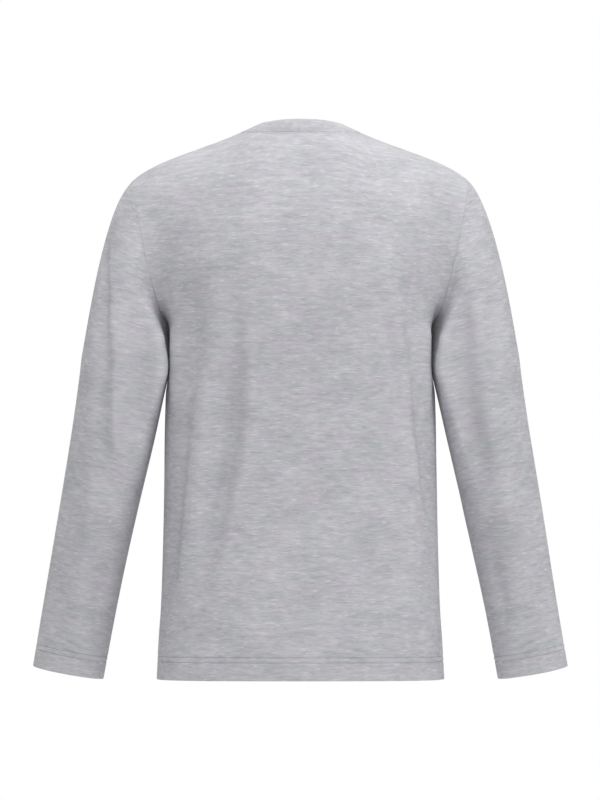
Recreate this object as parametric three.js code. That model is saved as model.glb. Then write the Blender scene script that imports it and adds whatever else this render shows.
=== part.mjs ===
// Long-sleeve T-shirt, filled out as if worn: a front and a back panel, two set-in sleeves and a rib neckband.
// Millimetres, +Z up, the front towards -Y, the wearer's left towards +X.
// The origin lies midway between the two high shoulder points, where the wearer's neck leaves the shoulders.
import * as THREE from "three";

// ---------------------------------------------------------------- driving sizes

const JERSEY = 1.2; // wall of the body and the sleeves
const TURNED_HEM = 2.3; // wall where a hem is turned up inside and lies double
const RIB = 2.4; // wall of the neckband, rib folded double
const SEAM_GAP = 0.6; // between two pieces at a seam

const HEM_HEIGHT = 31; // how far the hems of body and sleeves are turned up
const HEM_Z = -708.5; // body length from the high shoulder point
const UNDERARM_Z = -252;

const BACK = 1;
const FRONT = -1;

// Half rings of the torso below the underarm. Depths are measured from the side seam.
const TORSO_RINGS = [
  { z: HEM_Z, halfWidth: 187, back: 126, front: 121, fullness: 0.24 },
  { z: -662, halfWidth: 184.5, back: 125, front: 120, fullness: 0.25 },
  { z: -610, halfWidth: 181, back: 122, front: 118, fullness: 0.26 },
  { z: -526, halfWidth: 178.5, back: 118, front: 116, fullness: 0.28 },
  { z: -420, halfWidth: 176.5, back: 116, front: 118, fullness: 0.3 },
  { z: -329, halfWidth: 174.5, back: 119, front: 124, fullness: 0.31 },
  { z: UNDERARM_Z, halfWidth: 173, back: 125, front: 126, fullness: 0.31 },
];

// Neckline seam: half width at the sides, and its middle at the back and at the front.
const NECK = { halfWidth: 77, sideY: 8, sideZ: 2, backY: 72, backZ: 1, frontY: -64, frontZ: -80 };
const NECK_SHARE = 0.42; // share of a panel's half width, from its middle, that meets the neckband
const NECK_CURVE = 1.4; // 1 is an even oval, more eases the front neckline into the shoulder

const NECK_POINT = new THREE.Vector3(NECK.halfWidth, NECK.sideY, NECK.sideZ);
const SHOULDER_POINT = new THREE.Vector3(219, 4, -62);
const SHOULDER_LEAVES_NECK = new THREE.Vector3(140, 0, -66);
const SHOULDER_MEETS_SLEEVE = new THREE.Vector3(90, 0, -85);

// Which way the cloth of the yoke runs, for each share of the distance it covers. Y is read away from the wearer.
const LEAVES_UNDERARM = { back: [0.3, 1.4, 0.55], front: [0.12, 1.3, 0.55] };
const MEETS_NECK = { back: [0, -0.55, 0.8], front: [0, -0.6, 0.8] };
const MEETS_SHOULDER = { back: [0, -1.1, 0.2], front: [0, -1.15, 0.15] }; // beside the neck
const MEETS_SLEEVE = { back: [0, -1.1, 0.15], front: [0, -1.1, 0.1] }; // at the shoulder point
const ARMHOLE_REACH = 6; // the higher, the closer to the armhole its direction takes over
const YOKE_SOFTNESS = 0.22; // share of a half panel over which the corner at the neck point is eased

// The arm of the sleeve, as rings about its centre line, from the biceps to the cuff. innerFullness squares a
// ring's inner side, where the sleeve lies against the body.
const ARM_RINGS = [
  { z: -300, x: 227.3, y: 12, halfWidth: 58, halfDepth: 66, fullness: 0.08, innerFullness: 0.5 },
  { z: -330, x: 232.5, y: 10, halfWidth: 56.3, halfDepth: 65, fullness: 0.05, innerFullness: 0.48 },
  { z: -391, x: 243.5, y: 4, halfWidth: 53.8, halfDepth: 62, fullness: 0, innerFullness: 0.36 },
  { z: -464, x: 258, y: -5, halfWidth: 50.8, halfDepth: 56, fullness: -0.04, innerFullness: 0.14 },
  { z: -547, x: 274.3, y: -16, halfWidth: 48.4, halfDepth: 48, fullness: -0.04, innerFullness: 0 },
  { z: -630, x: 290, y: -26, halfWidth: 47, halfDepth: 39, fullness: 0, innerFullness: 0 },
  { z: -700.5, x: 302.8, y: -32, halfWidth: 46.3, halfDepth: 34, fullness: 0, innerFullness: 0 },
];
const CAP_LEAVES_SHOULDER = new THREE.Vector3(0.7, 0, -0.71);
const CAP_LEAVES_UNDERARM = new THREE.Vector3(0.12, 0, -1);
const CAP_START = 0.58; // pull of the cap's first direction, for each share of the distance covered
const CAP_END = 1.02; // pull of the arm's direction at the biceps

// Neckband: where its top edge lies.
const BAND_TOP = { halfWidth: 58.5, sideY: 7, sideZ: 8, backY: 66, backZ: 18.6, frontY: -53, frontZ: -61 };
const BAND_BULGE = 1.6;

// The largest folds, as soft troughs along a line seen from the back or the front. A negative depth is a ridge.
// x is given at the line's top, middle and foot.
const FOLDS = [
  { side: BACK, topZ: -190, footZ: -630, xTop: 92, xMiddle: 94, xFoot: 140, halfWidth: 20, depth: 7 },
  { side: BACK, topZ: -160, footZ: -610, xTop: 139, xMiddle: 153, xFoot: 174, halfWidth: 24, depth: 7 },
  { side: BACK, topZ: -165, footZ: -540, xTop: -142, xMiddle: -158, xFoot: -172, halfWidth: 22, depth: 6 },
  { side: FRONT, topZ: -210, footZ: -640, xTop: -80, xMiddle: -96, xFoot: -128, halfWidth: 20, depth: 6 },
  { side: FRONT, topZ: -160, footZ: -500, xTop: 140, xMiddle: 154, xFoot: 168, halfWidth: 22, depth: 6 },
  { side: FRONT, topZ: -160, footZ: -520, xTop: -138, xMiddle: -153, xFoot: -168, halfWidth: 22, depth: 6 },
];
// The side of the body is pressed in where the upper sleeve lies against it.
const ARM_PRESS = { z: -280, halfHeight: 42, halfDepth: 30, depth: 7 };

// ---------------------------------------------------------------- small tools

const lerp = THREE.MathUtils.lerp;
const point = (list) => new THREE.Vector3(...list);
const mix = (a, b, share) => a.clone().lerp(b, share);

// 0 before the start, 1 after the end, with a smooth climb between.
function climb(value, start, end) {
  return THREE.MathUtils.smoothstep(value, Math.min(start, end), Math.max(start, end));
}

// A cubic from a to b that leaves along `out` and arrives along `into`.
function sweep(a, b, out, into, t) {
  const u = 1 - t;
  return a.clone().multiplyScalar(u * u * (1 + 2 * t))
    .addScaledVector(b, t * t * (3 - 2 * t))
    .addScaledVector(out, t * u * u)
    .addScaledVector(into, -t * t * u);
}

// One column of a table, read smoothly at any height.
function column(rows, name, z) {
  const last = rows.length - 1;
  const up = rows[last].z > rows[0].z ? 1 : -1;
  let i = 0;
  while (i < last - 1 && up * (z - rows[i + 1].z) > 0) i += 1;
  const slope = (k) => {
    const a = rows[Math.max(k - 1, 0)];
    const b = rows[Math.min(k + 1, last)];
    return (b[name] - a[name]) / (b.z - a.z);
  };
  const span = rows[i + 1].z - rows[i].z;
  const t = (z - rows[i].z) / span;
  const u = 1 - t;
  return rows[i][name] * u * u * (1 + 2 * t) + rows[i + 1][name] * t * t * (3 - 2 * t)
    + slope(i) * span * t * u * u - slope(i + 1) * span * t * t * u;
}

// The outward normal of a surface at (a, b), where `turn` is 1 or -1 for its handedness.
function normalOf(surface, a, b, turn) {
  const step = 1e-3;
  const alongA = surface(a + step, b).sub(surface(a - step, b));
  const alongB = surface(a, b + step).sub(surface(a, b - step));
  return alongA.cross(alongB).multiplyScalar(turn).normalize();
}

// ---------------------------------------------------------------- body panels

// across runs from -1 at the right side seam, over 0 at the middle, to 1 at the left side seam.
function halfRing(side, across, z) {
  const turn = across * Math.PI / 2;
  const s = Math.sin(turn);
  const c = Math.cos(turn);
  const fullness = column(TORSO_RINGS, "fullness", z);
  const depth = column(TORSO_RINGS, side === BACK ? "back" : "front", z);
  return new THREE.Vector3(
    column(TORSO_RINGS, "halfWidth", z) * s * (1 + fullness * c * c),
    side * depth * c * (1 + fullness * s * s),
    z,
  );
}

// The upper edge of a panel: half of the neckline, then the shoulder seam.
function topEdge(side, across) {
  const share = Math.abs(across);
  let edge;
  if (share < NECK_SHARE) {
    const turn = share / NECK_SHARE * Math.PI / 2;
    const c = Math.cos(turn);
    const y = side === BACK ? NECK.backY : NECK.frontY;
    const z = side === BACK ? lerp(NECK.sideZ, NECK.backZ, c) : lerp(NECK.sideZ, NECK.frontZ, c ** NECK_CURVE);
    edge = new THREE.Vector3(NECK.halfWidth * Math.sin(turn), lerp(NECK.sideY, y, c), z);
  } else {
    const t = (share - NECK_SHARE) / (1 - NECK_SHARE);
    edge = sweep(NECK_POINT, SHOULDER_POINT, SHOULDER_LEAVES_NECK, SHOULDER_MEETS_SLEEVE, t);
  }
  edge.x *= Math.sign(across) || 1;
  return edge;
}

// A direction listed above, scaled to the distance it has to cover and turned to this side and half.
function direction(list, side, across, length) {
  const [x, y, z] = list[side === BACK ? "back" : "front"];
  return new THREE.Vector3(x * Math.sign(across), y * side, z).multiplyScalar(length);
}

// One thread of the yoke, from the chest at the level of the underarm up to the shoulder seam or the neckline.
function yokeThread(side, across, rise) {
  const chest = halfRing(side, across, UNDERARM_Z);
  const top = topEdge(side, across);
  const length = chest.distanceTo(top);
  const share = Math.abs(across);
  const out = mix(
    chest.clone().sub(halfRing(side, across, UNDERARM_Z - 1)).multiplyScalar(length),
    direction(LEAVES_UNDERARM, side, across, length),
    share ** ARMHOLE_REACH,
  );
  const seam = mix(
    direction(MEETS_SHOULDER, side, across, length),
    direction(MEETS_SLEEVE, side, across, length),
    climb(share, NECK_SHARE, 1),
  );
  const into = mix(direction(MEETS_NECK, side, across, length), seam, climb(share, 0, NECK_SHARE));
  return sweep(chest, top, out, into, rise);
}

// The panel above the underarm, where rise runs from 0 at the underarm to 1 at its upper edge. Neighbouring
// threads are averaged, ever less towards the edges, so the corner at the neck point does not show below it.
function yoke(side, across, rise) {
  const reach = YOKE_SOFTNESS * climb(rise, 0, 0.5) * climb(1 - rise, 0, 0.5)
    * climb(1 - Math.abs(across), 0, 0.5);
  const place = new THREE.Vector3();
  const spread = 4;
  for (let k = -spread; k <= spread; k += 1) {
    const weight = (1 + spread - Math.abs(k)) / (1 + spread) ** 2;
    place.addScaledVector(yokeThread(side, across + k / spread * reach, rise), weight);
  }
  return place;
}

// The smooth panel. up runs from 0 at the hem over 1 at the underarm to 2 at the shoulder.
function smoothPanel(side, across, up) {
  return up < 1 ? halfRing(side, across, lerp(HEM_Z, UNDERARM_Z, up)) : yoke(side, across, up - 1);
}

// How far the cloth stands in from the smooth panel at a place.
function foldDepth(side, place) {
  let depth = 0;
  for (const fold of FOLDS) {
    if (fold.side !== side) continue;
    const t = (place.z - fold.topZ) / (fold.footZ - fold.topZ);
    if (t < 0 || t > 1) continue;
    const line = lerp(lerp(fold.xTop, fold.xMiddle, 2 * t), lerp(fold.xMiddle, fold.xFoot, 2 * t - 1), t);
    const fade = Math.sin(Math.PI * t) ** 0.7;
    depth += fold.depth * fade * Math.exp(-(((place.x - line) / fold.halfWidth) ** 2));
  }
  const high = (place.z - ARM_PRESS.z) / ARM_PRESS.halfHeight;
  const deep = place.y / ARM_PRESS.halfDepth;
  return depth + ARM_PRESS.depth * Math.exp(-(high ** 4) - deep ** 2);
}

function panel(side) {
  const smooth = (across, up) => smoothPanel(side, across, up);
  return (across, up) => {
    const place = smooth(across, up);
    return place.addScaledVector(normalOf(smooth, across, up, -side), -foldDepth(side, place));
  };
}

// ---------------------------------------------------------------- sleeves

// The left armhole as the panels leave it: around runs from 0 at the underarm, up the back, over 1 at the
// shoulder point, and down the front to 2.
function armhole(around) {
  const side = around <= 1 ? BACK : FRONT;
  return panel(side)(1 - 1e-3, 1 + (around <= 1 ? around : 2 - around));
}

function armCentre(z) {
  return new THREE.Vector3(column(ARM_RINGS, "x", z), column(ARM_RINGS, "y", z), z);
}

function armAxis(z) {
  return armCentre(z - 1).sub(armCentre(z + 1)).normalize();
}

// A ring of the arm, square to its centre line. It starts at the inner side and runs over the back.
function armRing(around, z) {
  const axis = armAxis(z);
  const outward = new THREE.Vector3(0, 1, 0).cross(axis).negate().normalize();
  const backward = outward.clone().cross(axis);
  const turn = Math.PI * (1 - around);
  const c = Math.cos(turn);
  const s = Math.sin(turn);
  const inner = climb(-c, 0, 0.6) * (0.4 + 0.6 * climb(s, -1, 1));
  const fullness = column(ARM_RINGS, "fullness", z) + column(ARM_RINGS, "innerFullness", z) * inner;
  return armCentre(z)
    .addScaledVector(outward, column(ARM_RINGS, "halfWidth", z) * c * (1 + fullness * s * s))
    .addScaledVector(backward, column(ARM_RINGS, "halfDepth", z) * s * (1 + fullness * c * c));
}

// The sleeve. down runs from 0 at the armhole over 1 at the biceps to 2 at the cuff.
function sleeve(around, down) {
  const biceps = ARM_RINGS[0].z;
  const cuff = ARM_RINGS[ARM_RINGS.length - 1].z;
  if (down > 1) return armRing(around, lerp(biceps, cuff, down - 1));
  const start = armhole(around);
  const end = armRing(around, biceps);
  const length = start.distanceTo(end);
  const lift = climb(start.z, UNDERARM_Z, SHOULDER_POINT.z);
  const out = mix(CAP_LEAVES_UNDERARM, CAP_LEAVES_SHOULDER, lift).normalize();
  start.addScaledVector(mix(new THREE.Vector3(1, 0, 0), out, lift), SEAM_GAP);
  return sweep(
    start,
    end,
    out.multiplyScalar(length * CAP_START),
    armAxis(biceps).multiplyScalar(length * CAP_END),
    down,
  );
}

// ---------------------------------------------------------------- neckband

// around runs from 0 at the middle of the back over the left side to 4, with 2 at the middle of the front.
function neckSide(around) {
  const side = around <= 1 || around > 3 ? BACK : FRONT;
  const across = around <= 1 ? around : around <= 3 ? 2 - around : around - 4;
  return { side, across };
}

function neckband(around, up) {
  const { side, across } = neckSide(around);
  const base = topEdge(side, across * NECK_SHARE);
  const turn = Math.abs(across) * Math.PI / 2;
  const c = Math.cos(turn);
  const y = side === BACK ? BAND_TOP.backY : BAND_TOP.frontY;
  const z = side === BACK ? lerp(BAND_TOP.sideZ, BAND_TOP.backZ, c)
    : lerp(BAND_TOP.sideZ, BAND_TOP.frontZ, c ** NECK_CURVE);
  const top = new THREE.Vector3(
    BAND_TOP.halfWidth * Math.sin(turn) * (Math.sign(across) || 1),
    lerp(BAND_TOP.sideY, y, c),
    z,
  );
  const outward = new THREE.Vector3(base.x, base.y - NECK.sideY, 0).normalize();
  base.addScaledVector(top.clone().sub(base).normalize(), SEAM_GAP);
  return mix(base, top, up).addScaledVector(outward, BAND_BULGE * Math.sin(Math.PI * up));
}

// ---------------------------------------------------------------- walls

// A closed wall of cloth whose outer face follows `surface` over the grid of `acrosses` and `ups`, and whose
// inner face lies `thickness(up)` behind it. `turn` is the surface's handedness; a ring joins up across.
function wall(surface, acrosses, ups, thickness, turn, ring = false) {
  const columns = acrosses.length;
  const rows = ups.length;
  const positions = [];
  for (const layer of [0, 1]) {
    for (const up of ups) {
      for (const across of acrosses) {
        const place = surface(across, up);
        if (layer) place.addScaledVector(normalOf(surface, across, up, turn), -thickness(up));
        positions.push(place.x, place.y, place.z);
      }
    }
  }
  const at = (layer, row, col) => (layer * rows + row) * columns + col % columns;
  const faces = [];
  const quad = (a, b, c, d) => (turn > 0 ? faces.push(a, b, c, a, c, d) : faces.push(a, c, b, a, d, c));
  const spans = ring ? columns : columns - 1;
  for (let row = 0; row < rows - 1; row += 1) {
    for (let col = 0; col < spans; col += 1) {
      quad(at(0, row, col), at(0, row, col + 1), at(0, row + 1, col + 1), at(0, row + 1, col));
      quad(at(1, row, col), at(1, row + 1, col), at(1, row + 1, col + 1), at(1, row, col + 1));
    }
  }
  for (let col = 0; col < spans; col += 1) {
    quad(at(0, 0, col), at(1, 0, col), at(1, 0, col + 1), at(0, 0, col + 1));
    quad(at(0, rows - 1, col), at(0, rows - 1, col + 1), at(1, rows - 1, col + 1), at(1, rows - 1, col));
  }
  for (let row = 0; !ring && row < rows - 1; row += 1) {
    quad(at(0, row, 0), at(0, row + 1, 0), at(1, row + 1, 0), at(1, row, 0));
    const end = columns - 1;
    quad(at(0, row, end), at(1, row, end), at(1, row + 1, end), at(0, row + 1, end));
  }
  const geometry = new THREE.BufferGeometry();
  geometry.setAttribute("position", new THREE.Float32BufferAttribute(positions, 3));
  geometry.setIndex(faces);
  geometry.computeVertexNormals();
  return geometry;
}

// `count` equal steps from a to b, both ends included.
function steps(a, b, count) {
  return Array.from({ length: count + 1 }, (_, i) => lerp(a, b, i / count));
}

const NECK_COLUMNS = 14; // over the whole neckline of one panel
const SHOULDER_COLUMNS = 8; // over one shoulder seam
const BODY_ROWS = 9; // from the turned hem to the underarm
const ARMHOLE_ROWS = 11; // from the underarm to the shoulder
const CAP_ROWS = 8;
const ARM_ROWS = 9;
const BAND_ROWS = 3;

const EDGE = 1 - 0.0022; // keeps the side seams and armhole edges half a seam gap apart
const SHOULDER_EDGE = 2 - 0.0022; // the same at the shoulder seams
const HEM_TOP = HEM_HEIGHT / (UNDERARM_Z - HEM_Z);
const CUFF_TOP = 2 - HEM_HEIGHT / (ARM_RINGS[0].z - ARM_RINGS[ARM_RINGS.length - 1].z);
const HEM_STEP = 0.003; // how sharply the doubled hem ends, in shares of the panel

const bodyAcross = [
  ...steps(-EDGE, -NECK_SHARE, SHOULDER_COLUMNS),
  ...steps(-NECK_SHARE, NECK_SHARE, NECK_COLUMNS).slice(1, -1),
  ...steps(NECK_SHARE, EDGE, SHOULDER_COLUMNS),
];
const armholeUps = steps(1, SHOULDER_EDGE, ARMHOLE_ROWS);
const bodyUps = [
  0,
  HEM_TOP,
  ...steps(HEM_TOP + HEM_STEP, 1, BODY_ROWS),
  ...armholeUps.slice(1),
];
const sleeveArounds = [
  ...armholeUps.map((up) => up - 1),
  ...armholeUps.slice(1, -1).reverse().map((up) => 3 - up),
];
const sleeveDowns = [
  ...steps(0, 1, CAP_ROWS),
  ...steps(1, CUFF_TOP - HEM_STEP, ARM_ROWS).slice(1),
  CUFF_TOP,
  2,
];
const bandArounds = steps(0, 4, 2 * NECK_COLUMNS).slice(0, -1);

// ---------------------------------------------------------------- the shirt

const HEATHER_GREY = new THREE.Color(0xbcbbbf);
const jersey = () => new THREE.MeshStandardMaterial({ color: HEATHER_GREY, roughness: 0.92, metalness: 0 });
const rib = () => new THREE.MeshStandardMaterial({ color: HEATHER_GREY, roughness: 0.95, metalness: 0 });

function named(name, geometry, material) {
  const mesh = new THREE.Mesh(geometry, material);
  mesh.name = name;
  return mesh;
}

function bodyPanel(name, side) {
  const thickness = (up) => (up <= HEM_TOP ? TURNED_HEM : JERSEY);
  return named(name, wall(panel(side), bodyAcross, bodyUps, thickness, -side), jersey());
}

function sleevePiece(name, hand) {
  const surface = (around, down) => {
    const place = sleeve(around, down);
    place.x *= hand;
    return place;
  };
  const thickness = (down) => (down >= CUFF_TOP ? TURNED_HEM : JERSEY);
  return named(name, wall(surface, sleeveArounds, sleeveDowns, thickness, hand, true), jersey());
}

function neckbandPiece() {
  return named("neckband", wall(neckband, bandArounds, steps(0, 1, BAND_ROWS), () => RIB, -1, true), rib());
}

const shirt = new THREE.Group();
shirt.name = "long_sleeve_t_shirt";
shirt.add(
  bodyPanel("back_panel", BACK),
  bodyPanel("front_panel", FRONT),
  sleevePiece("left_sleeve", 1),
  sleevePiece("right_sleeve", -1),
  neckbandPiece(),
);

export default shirt;
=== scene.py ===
"""Long-sleeve T-shirt in grey heather jersey, filled out as worn, with no wearer in it.

Every piece of cloth is a grid laid over the form that its CAD solid has. Its edges are turned in as
seam allowances or folded up as hems, its listed creases are pressed in, and it then gets the cloth's
thickness. Lengths are in millimetres until a mesh is made.
"""
import math
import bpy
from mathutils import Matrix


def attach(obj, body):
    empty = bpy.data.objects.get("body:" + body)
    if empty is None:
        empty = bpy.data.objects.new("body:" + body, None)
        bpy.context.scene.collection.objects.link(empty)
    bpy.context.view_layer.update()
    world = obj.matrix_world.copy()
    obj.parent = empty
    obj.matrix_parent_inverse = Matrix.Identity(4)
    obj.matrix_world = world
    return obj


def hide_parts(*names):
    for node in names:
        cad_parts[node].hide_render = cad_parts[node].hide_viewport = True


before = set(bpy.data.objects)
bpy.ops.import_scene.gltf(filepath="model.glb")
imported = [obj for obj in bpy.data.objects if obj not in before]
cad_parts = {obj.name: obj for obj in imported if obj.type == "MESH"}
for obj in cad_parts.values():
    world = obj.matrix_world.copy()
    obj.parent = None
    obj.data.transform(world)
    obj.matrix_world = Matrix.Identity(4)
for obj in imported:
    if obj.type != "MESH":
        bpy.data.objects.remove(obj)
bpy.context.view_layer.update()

import bmesh
import bpy
import numpy as np
from mathutils import Matrix, Vector

MM = 0.001
BACK = 1
FRONT = -1

# ------------------------------------------------ the cut and the form, as in the CAD model

JERSEY = 0.9  # thickness of the jersey
RIB = 1.1  # one layer of the rib
HEM = 31.0  # how far hems are turned up
HEM_Z = -708.5
UNDERARM_Z = -252.0

# Half rings of the torso: height, half width, depth to the back and to the front, fullness.
TORSO = {
    "z": [-708.5, -662, -610, -526, -420, -329, -252],
    "half_width": [187, 184.5, 181, 178.5, 176.5, 174.5, 173],
    "back": [126, 125, 122, 118, 116, 119, 125],
    "front": [121, 120, 118, 116, 118, 124, 126],
    "fullness": [0.24, 0.25, 0.26, 0.28, 0.3, 0.31, 0.31],
}
NECK = {"half_width": 77, "side_y": 8, "side_z": 2, "back": (72, 1), "front": (-64, -80)}
NECK_SHARE = 0.42  # of a panel's half width, where the neckline ends and the shoulder seam starts
NECK_CURVE = 1.4  # above 1, the front neckline climbs sooner on its way from the middle to the side
NECK_POINT = (77, 8, 2)
SHOULDER_POINT = (219, 4, -62)
SHOULDER_LEAVES_NECK = (140, 0, -66)
SHOULDER_MEETS_SLEEVE = (90, 0, -85)

# Which way the cloth of the yoke runs at each of its edges, as shares of the distance it covers. Y is
# read away from the wearer.
LEAVES_UNDERARM = {BACK: (0.3, 1.4, 0.55), FRONT: (0.12, 1.3, 0.55)}
MEETS_NECK = {BACK: (0, -0.55, 0.8), FRONT: (0, -0.6, 0.8)}
MEETS_SHOULDER = {BACK: (0, -1.1, 0.2), FRONT: (0, -1.15, 0.15)}
MEETS_SLEEVE = {BACK: (0, -1.1, 0.15), FRONT: (0, -1.1, 0.1)}
ARMHOLE_REACH = 6  # the higher, the closer the armhole's own direction keeps to the armhole
YOKE_SOFTNESS = 0.22  # of a panel's half width, over which its threads are averaged

# Rings of the left sleeve, from the biceps to the cuff: height, middle, half sizes. inner_fullness is
# added on the side towards the body.
ARM = {
    "z": [-300, -330, -391, -464, -547, -630, -700.5],
    "x": [227.3, 232.5, 243.5, 258, 274.3, 290, 302.8],
    "y": [12, 10, 4, -5, -16, -26, -32],
    "half_width": [58, 56.3, 53.8, 50.8, 48.4, 47, 46.3],
    "half_depth": [66, 65, 62, 56, 48, 39, 34],
    "fullness": [0.08, 0.05, 0, -0.04, -0.04, 0, 0],
    "inner_fullness": [0.5, 0.48, 0.36, 0.14, 0, 0, 0],
}
BICEPS_Z = -300.0
CUFF_Z = -700.5
CAP_LEAVES_SHOULDER = (0.7, 0, -0.71)
CAP_LEAVES_UNDERARM = (0.12, 0, -1)
CAP_START = 0.58  # how long the cap of the sleeve keeps its direction at the armhole
CAP_END = 1.02  # and at the biceps
ARMHOLE_MIDDLE = (200, 2, -155)

# The neckband's top edge, given as the neckline is, and how far the band bulges below it.
BAND_TOP = {"half_width": 58.5, "side_y": 7, "side_z": 8, "back": (66, 18.6), "front": (-53, -61)}
BAND_BULGE = 1.6

# Where the upper sleeve lies against the side of the body, and how far it presses it in.
ARM_PRESS = {"z": -280, "half_height": 42, "half_depth": 30, "depth": 7}


def vec(*numbers):
    return np.array(numbers, float)


def climb(value, start, end):
    """0 before the start and 1 after the end, with a smooth climb between."""
    t = np.clip((value - start) / (end - start), 0, 1)
    return t * t * (3 - 2 * t)


def unit(vectors):
    return vectors / np.maximum(np.linalg.norm(vectors, axis=-1, keepdims=True), 1e-9)


def sweep(a, b, out, into, t):
    """A cubic from a to b that leaves along out and arrives along into."""
    t = np.asarray(t, float)[..., None]
    u = 1 - t
    return a * u * u * (1 + 2 * t) + b * t * t * (3 - 2 * t) + out * t * u * u - into * t * t * u


def read(table, name, z):
    """One column of a table, read smoothly at any height."""
    heights, values = vec(*table["z"]), vec(*table[name])
    up = np.sign(heights[-1] - heights[0])
    last = len(heights) - 1
    i = np.clip(np.searchsorted(up * heights, up * np.asarray(z, float), side="right") - 1, 0, last - 1)

    def slope(k):
        a, b = np.maximum(k - 1, 0), np.minimum(k + 1, last)
        return (values[b] - values[a]) / (heights[b] - heights[a])

    span = heights[i + 1] - heights[i]
    t = (z - heights[i]) / span
    u = 1 - t
    ends = values[i] * u * u * (1 + 2 * t) + values[i + 1] * t * t * (3 - 2 * t)
    return ends + slope(i) * span * t * u * u - slope(i + 1) * span * t * t * u


def half_ring(side, across, z):
    """across runs from -1 at the right side seam to 1 at the left side seam."""
    turn = across * math.pi / 2
    s, c = np.sin(turn), np.cos(turn)
    fullness = read(TORSO, "fullness", z)
    depth = read(TORSO, "back" if side == BACK else "front", z)
    x = read(TORSO, "half_width", z) * s * (1 + fullness * c * c)
    return np.stack([x, side * depth * c * (1 + fullness * s * s), z + 0 * x], -1)


def neck_curve(sizes, side, share):
    """A quarter of a neckline, from 0 at the middle of the back or front to 1 at the side of the neck."""
    turn = np.clip(share, 0, 1) * math.pi / 2
    c = np.cos(turn)
    y, z = sizes["back" if side == BACK else "front"]
    ease = 1 if side == BACK else NECK_CURVE
    return np.stack(
        [
            sizes["half_width"] * np.sin(turn),
            sizes["side_y"] + (y - sizes["side_y"]) * c,
            sizes["side_z"] + (z - sizes["side_z"]) * c**ease,
        ],
        -1,
    )


def top_edge(side, across):
    """The upper edge of a panel: half of the neckline, then the shoulder seam."""
    share = np.abs(across)
    t = np.clip((share - NECK_SHARE) / (1 - NECK_SHARE), 0, 1)
    shoulder = sweep(
        vec(*NECK_POINT),
        vec(*SHOULDER_POINT),
        vec(*SHOULDER_LEAVES_NECK),
        vec(*SHOULDER_MEETS_SLEEVE),
        t,
    )
    neckline = neck_curve(NECK, side, share / NECK_SHARE)
    edge = np.where((share < NECK_SHARE)[..., None], neckline, shoulder)
    edge[..., 0] *= np.where(across < 0, -1, 1)
    return edge


def yoke_thread(side, across, rise):
    """The cloth between the underarm, where rise is 0, and the panel's top edge, where it is 1."""
    underarm = np.full_like(across, UNDERARM_Z)
    chest = half_ring(side, across, underarm)
    top = top_edge(side, across)
    length = np.linalg.norm(chest - top, axis=-1)[..., None]
    hand = np.where(across < 0, -1, 1)
    share = np.abs(across)[..., None]

    def direction(named):
        x, y, z = named[side]
        return np.stack([x * hand, y * side + 0 * hand, z + 0 * hand], -1) * length

    by_armhole = share**ARMHOLE_REACH
    out = (chest - half_ring(side, across, underarm - 1)) * length * (1 - by_armhole)
    out = out + direction(LEAVES_UNDERARM) * by_armhole
    by_sleeve = climb(share, NECK_SHARE, 1)
    seam = direction(MEETS_SHOULDER) * (1 - by_sleeve) + direction(MEETS_SLEEVE) * by_sleeve
    by_seam = climb(share, 0, NECK_SHARE)
    return sweep(chest, top, out, direction(MEETS_NECK) * (1 - by_seam) + seam * by_seam, rise)


def yoke(side, across, rise):
    """The panel above the underarm: neighbouring threads averaged, ever less towards the edges."""
    reach = YOKE_SOFTNESS * climb(rise, 0, 0.5) * climb(1 - rise, 0, 0.5)
    reach = reach * climb(1 - np.abs(across), 0, 0.5)
    neighbours = 10
    total = 0
    for k in range(-neighbours, neighbours + 1):
        weight = (1 + neighbours - abs(k)) / (1 + neighbours) ** 2
        total = total + weight * yoke_thread(side, across + k / neighbours * reach, rise)
    return total


def panel_form(side):
    """The form of a panel. up runs from 0 at the hem over 1 at the underarm to 2 at the shoulder."""

    def form(across, up):
        places = half_ring(side, across, HEM_Z + np.minimum(up, 1) * (UNDERARM_Z - HEM_Z))
        above = up > 1
        if above.any():
            places[above] = yoke(side, across[above], np.minimum(up[above] - 1, 1))
        return places

    return form


def press(places):
    """How far the upper sleeve presses in the side of the body."""
    high = (places[..., 2] - ARM_PRESS["z"]) / ARM_PRESS["half_height"]
    deep = places[..., 1] / ARM_PRESS["half_depth"]
    return ARM_PRESS["depth"] * np.exp(-(high**4) - deep**2)


def normals_of(form, a, b, turn):
    """Which way a form faces, and which way its two numbers run. turn is 1 or -1, to face outwards."""
    step = 1e-3
    along_a = form(a + step, b) - form(a - step, b)
    along_b = form(a, b + step) - form(a, b - step)
    return unit(np.cross(along_a, along_b)) * turn, unit(along_a), unit(along_b)


def armhole(around):
    """The left armhole: around runs from 0 at the underarm up the back, over 1 at the shoulder, to 2."""
    around = np.clip(around, 0, 2)
    rise = np.where(around <= 1, around, 2 - around)
    edge = np.full_like(rise, 1 - 1e-3)  # just inside the panel, where its normal is sound
    places = []
    for side in (BACK, FRONT):
        form = panel_form(side)
        place = form(edge, 1 + rise)
        normal = normals_of(form, edge, 1 + rise, -side)[0]
        places.append(place - normal * press(place)[..., None])
    return np.where((around <= 1)[..., None], places[0], places[1])


def arm_middle(z):
    return np.stack([read(ARM, "x", z), read(ARM, "y", z), z + 0.0], -1)


def arm_axis(z):
    return unit(arm_middle(z - 1) - arm_middle(z + 1))


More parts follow.
